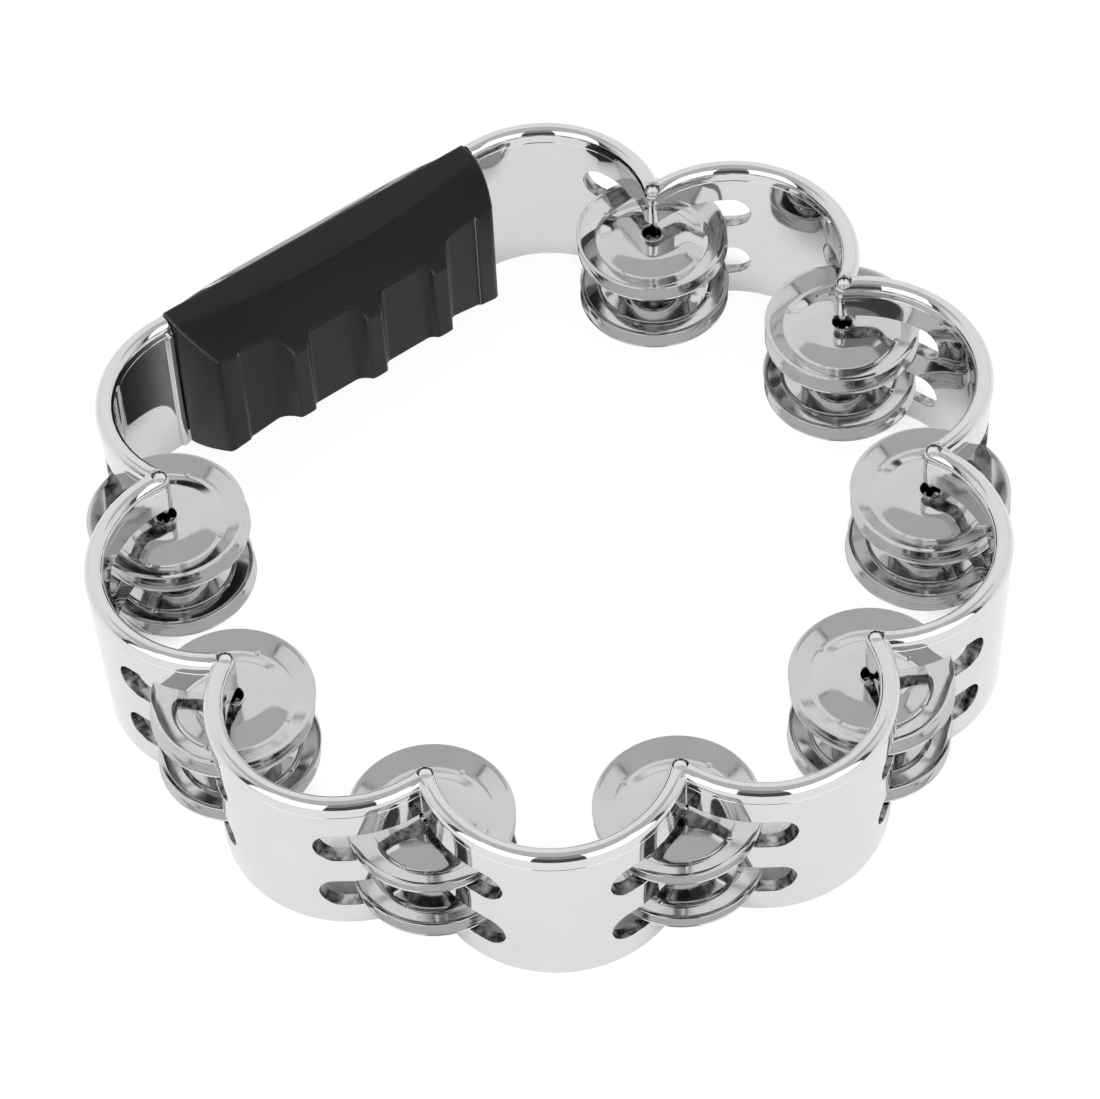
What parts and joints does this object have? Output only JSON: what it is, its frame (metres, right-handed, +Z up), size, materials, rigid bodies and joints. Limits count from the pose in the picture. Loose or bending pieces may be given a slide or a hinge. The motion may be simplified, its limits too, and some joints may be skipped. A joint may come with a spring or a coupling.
{
  "type": "jingle ring",
  "caption": "Chrome scalloped headless tambourine ring with pairs of loose dished jingles on pins in its slots and a black finger-grooved hand grip on its straight side.",
  "frame": {"origin": "under the middle of the whole ring's box, on the surface that its flat rim stands on", "axes": "+Z up out of the ring's plane along the pins towards their heads, +Y from the ring's middle towards the straight side with the grip, +X along that straight side"},
  "size_m": [0.2536, 0.2416, 0.0546],
  "materials": {
    "plated_frame": "bright chrome plate over a moulded plastic frame",
    "black_grip": "matte black moulding with lightly rounded edges",
    "pin_steel": "bright steel nail",
    "jingle_sheet": "bright nickel-plated pressed steel sheet, fine rolling marks"
  },
  "bodies": {
    "frame": {"ring_frame": "plated_frame", "finger_grip": "black_grip", "jingle_pin_1": "pin_steel", "jingle_pin_2": "pin_steel", "jingle_pin_3": "pin_steel", "jingle_pin_4": "pin_steel", "jingle_pin_5": "pin_steel", "jingle_pin_6": "pin_steel", "jingle_pin_7": "pin_steel", "jingle_pin_8": "pin_steel"},
    "jingle_1_high_bottom": {"jingle_1_high_bottom": "jingle_sheet"},
    "jingle_1_high_top": {"jingle_1_high_top": "jingle_sheet"},
    "jingle_1_low_bottom": {"jingle_1_low_bottom": "jingle_sheet"},
    "jingle_1_low_top": {"jingle_1_low_top": "jingle_sheet"},
    "jingle_2_high_bottom": {"jingle_2_high_bottom": "jingle_sheet"},
    "jingle_2_high_top": {"jingle_2_high_top": "jingle_sheet"},
    "jingle_2_low_bottom": {"jingle_2_low_bottom": "jingle_sheet"},
    "jingle_2_low_top": {"jingle_2_low_top": "jingle_sheet"},
    "jingle_3_high_bottom": {"jingle_3_high_bottom": "jingle_sheet"},
    "jingle_3_high_top": {"jingle_3_high_top": "jingle_sheet"},
    "jingle_3_low_bottom": {"jingle_3_low_bottom": "jingle_sheet"},
    "jingle_3_low_top": {"jingle_3_low_top": "jingle_sheet"},
    "jingle_4_high_bottom": {"jingle_4_high_bottom": "jingle_sheet"},
    "jingle_4_high_top": {"jingle_4_high_top": "jingle_sheet"},
    "jingle_4_low_bottom": {"jingle_4_low_bottom": "jingle_sheet"},
    "jingle_4_low_top": {"jingle_4_low_top": "jingle_sheet"},
    "jingle_5_high_bottom": {"jingle_5_high_bottom": "jingle_sheet"},
    "jingle_5_high_top": {"jingle_5_high_top": "jingle_sheet"},
    "jingle_5_low_bottom": {"jingle_5_low_bottom": "jingle_sheet"},
    "jingle_5_low_top": {"jingle_5_low_top": "jingle_sheet"},
    "jingle_6_high_bottom": {"jingle_6_high_bottom": "jingle_sheet"},
    "jingle_6_high_top": {"jingle_6_high_top": "jingle_sheet"},
    "jingle_6_low_bottom": {"jingle_6_low_bottom": "jingle_sheet"},
    "jingle_6_low_top": {"jingle_6_low_top": "jingle_sheet"},
    "jingle_7_high_bottom": {"jingle_7_high_bottom": "jingle_sheet"},
    "jingle_7_high_top": {"jingle_7_high_top": "jingle_sheet"},
    "jingle_7_low_bottom": {"jingle_7_low_bottom": "jingle_sheet"},
    "jingle_7_low_top": {"jingle_7_low_top": "jingle_sheet"},
    "jingle_8_high_bottom": {"jingle_8_high_bottom": "jingle_sheet"},
    "jingle_8_high_top": {"jingle_8_high_top": "jingle_sheet"},
    "jingle_8_low_bottom": {"jingle_8_low_bottom": "jingle_sheet"},
    "jingle_8_low_top": {"jingle_8_low_top": "jingle_sheet"}
  },
  "joints": [
    {"name": "jingle_1_high_bottom_slide", "type": "slide", "parent": "frame", "child": "jingle_1_high_bottom", "axis": [0, 0, 1], "range_m": [0, 0.0021]},
    {"name": "jingle_1_high_top_slide", "type": "slide", "parent": "jingle_1_high_bottom", "child": "jingle_1_high_top", "axis": [0, 0, 1], "range_m": [0, 0.0021]},
    {"name": "jingle_1_low_bottom_slide", "type": "slide", "parent": "frame", "child": "jingle_1_low_bottom", "axis": [0, 0, 1], "range_m": [0, 0.0021]},
    {"name": "jingle_1_low_top_slide", "type": "slide", "parent": "jingle_1_low_bottom", "child": "jingle_1_low_top", "axis": [0, 0, 1], "range_m": [0, 0.0021]},
    {"name": "jingle_2_high_bottom_slide", "type": "slide", "parent": "frame", "child": "jingle_2_high_bottom", "axis": [0, 0, 1], "range_m": [0, 0.0021]},
    {"name": "jingle_2_high_top_slide", "type": "slide", "parent": "jingle_2_high_bottom", "child": "jingle_2_high_top", "axis": [0, 0, 1], "range_m": [0, 0.0021]},
    {"name": "jingle_2_low_bottom_slide", "type": "slide", "parent": "frame", "child": "jingle_2_low_bottom", "axis": [0, 0, 1], "range_m": [0, 0.0021]},
    {"name": "jingle_2_low_top_slide", "type": "slide", "parent": "jingle_2_low_bottom", "child": "jingle_2_low_top", "axis": [0, 0, 1], "range_m": [0, 0.0021]},
    {"name": "jingle_3_high_bottom_slide", "type": "slide", "parent": "frame", "child": "jingle_3_high_bottom", "axis": [0, 0, 1], "range_m": [0, 0.0021]},
    {"name": "jingle_3_high_top_slide", "type": "slide", "parent": "jingle_3_high_bottom", "child": "jingle_3_high_top", "axis": [0, 0, 1], "range_m": [0, 0.0021]},
    {"name": "jingle_3_low_bottom_slide", "type": "slide", "parent": "frame", "child": "jingle_3_low_bottom", "axis": [0, 0, 1], "range_m": [0, 0.0021]},
    {"name": "jingle_3_low_top_slide", "type": "slide", "parent": "jingle_3_low_bottom", "child": "jingle_3_low_top", "axis": [0, 0, 1], "range_m": [0, 0.0021]},
    {"name": "jingle_4_high_bottom_slide", "type": "slide", "parent": "frame", "child": "jingle_4_high_bottom", "axis": [0, 0, 1], "range_m": [0, 0.0021]},
    {"name": "jingle_4_high_top_slide", "type": "slide", "parent": "jingle_4_high_bottom", "child": "jingle_4_high_top", "axis": [0, 0, 1], "range_m": [0, 0.0021]},
    {"name": "jingle_4_low_bottom_slide", "type": "slide", "parent": "frame", "child": "jingle_4_low_bottom", "axis": [0, 0, 1], "range_m": [0, 0.0021]},
    {"name": "jingle_4_low_top_slide", "type": "slide", "parent": "jingle_4_low_bottom", "child": "jingle_4_low_top", "axis": [0, 0, 1], "range_m": [0, 0.0021]},
    {"name": "jingle_5_high_bottom_slide", "type": "slide", "parent": "frame", "child": "jingle_5_high_bottom", "axis": [0, 0, 1], "range_m": [0, 0.0021]},
    {"name": "jingle_5_high_top_slide", "type": "slide", "parent": "jingle_5_high_bottom", "child": "jingle_5_high_top", "axis": [0, 0, 1], "range_m": [0, 0.0021]},
    {"name": "jingle_5_low_bottom_slide", "type": "slide", "parent": "frame", "child": "jingle_5_low_bottom", "axis": [0, 0, 1], "range_m": [0, 0.0021]},
    {"name": "jingle_5_low_top_slide", "type": "slide", "parent": "jingle_5_low_bottom", "child": "jingle_5_low_top", "axis": [0, 0, 1], "range_m": [0, 0.0021]},
    {"name": "jingle_6_high_bottom_slide", "type": "slide", "parent": "frame", "child": "jingle_6_high_bottom", "axis": [0, 0, 1], "range_m": [0, 0.0021]},
    {"name": "jingle_6_high_top_slide", "type": "slide", "parent": "jingle_6_high_bottom", "child": "jingle_6_high_top", "axis": [0, 0, 1], "range_m": [0, 0.0021]},
    {"name": "jingle_6_low_bottom_slide", "type": "slide", "parent": "frame", "child": "jingle_6_low_bottom", "axis": [0, 0, 1], "range_m": [0, 0.0021]},
    {"name": "jingle_6_low_top_slide", "type": "slide", "parent": "jingle_6_low_bottom", "child": "jingle_6_low_top", "axis": [0, 0, 1], "range_m": [0, 0.0021]},
    {"name": "jingle_7_high_bottom_slide", "type": "slide", "parent": "frame", "child": "jingle_7_high_bottom", "axis": [0, 0, 1], "range_m": [0, 0.0021]},
    {"name": "jingle_7_high_top_slide", "type": "slide", "parent": "jingle_7_high_bottom", "child": "jingle_7_high_top", "axis": [0, 0, 1], "range_m": [0, 0.0021]},
    {"name": "jingle_7_low_bottom_slide", "type": "slide", "parent": "frame", "child": "jingle_7_low_bottom", "axis": [0, 0, 1], "range_m": [0, 0.0021]},
    {"name": "jingle_7_low_top_slide", "type": "slide", "parent": "jingle_7_low_bottom", "child": "jingle_7_low_top", "axis": [0, 0, 1], "range_m": [0, 0.0021]},
    {"name": "jingle_8_high_bottom_slide", "type": "slide", "parent": "frame", "child": "jingle_8_high_bottom", "axis": [0, 0, 1], "range_m": [0, 0.0021]},
    {"name": "jingle_8_high_top_slide", "type": "slide", "parent": "jingle_8_high_bottom", "child": "jingle_8_high_top", "axis": [0, 0, 1], "range_m": [0, 0.0021]},
    {"name": "jingle_8_low_bottom_slide", "type": "slide", "parent": "frame", "child": "jingle_8_low_bottom", "axis": [0, 0, 1], "range_m": [0, 0.0021]},
    {"name": "jingle_8_low_top_slide", "type": "slide", "parent": "jingle_8_low_bottom", "child": "jingle_8_low_top", "axis": [0, 0, 1], "range_m": [0, 0.0021]}
  ]
}
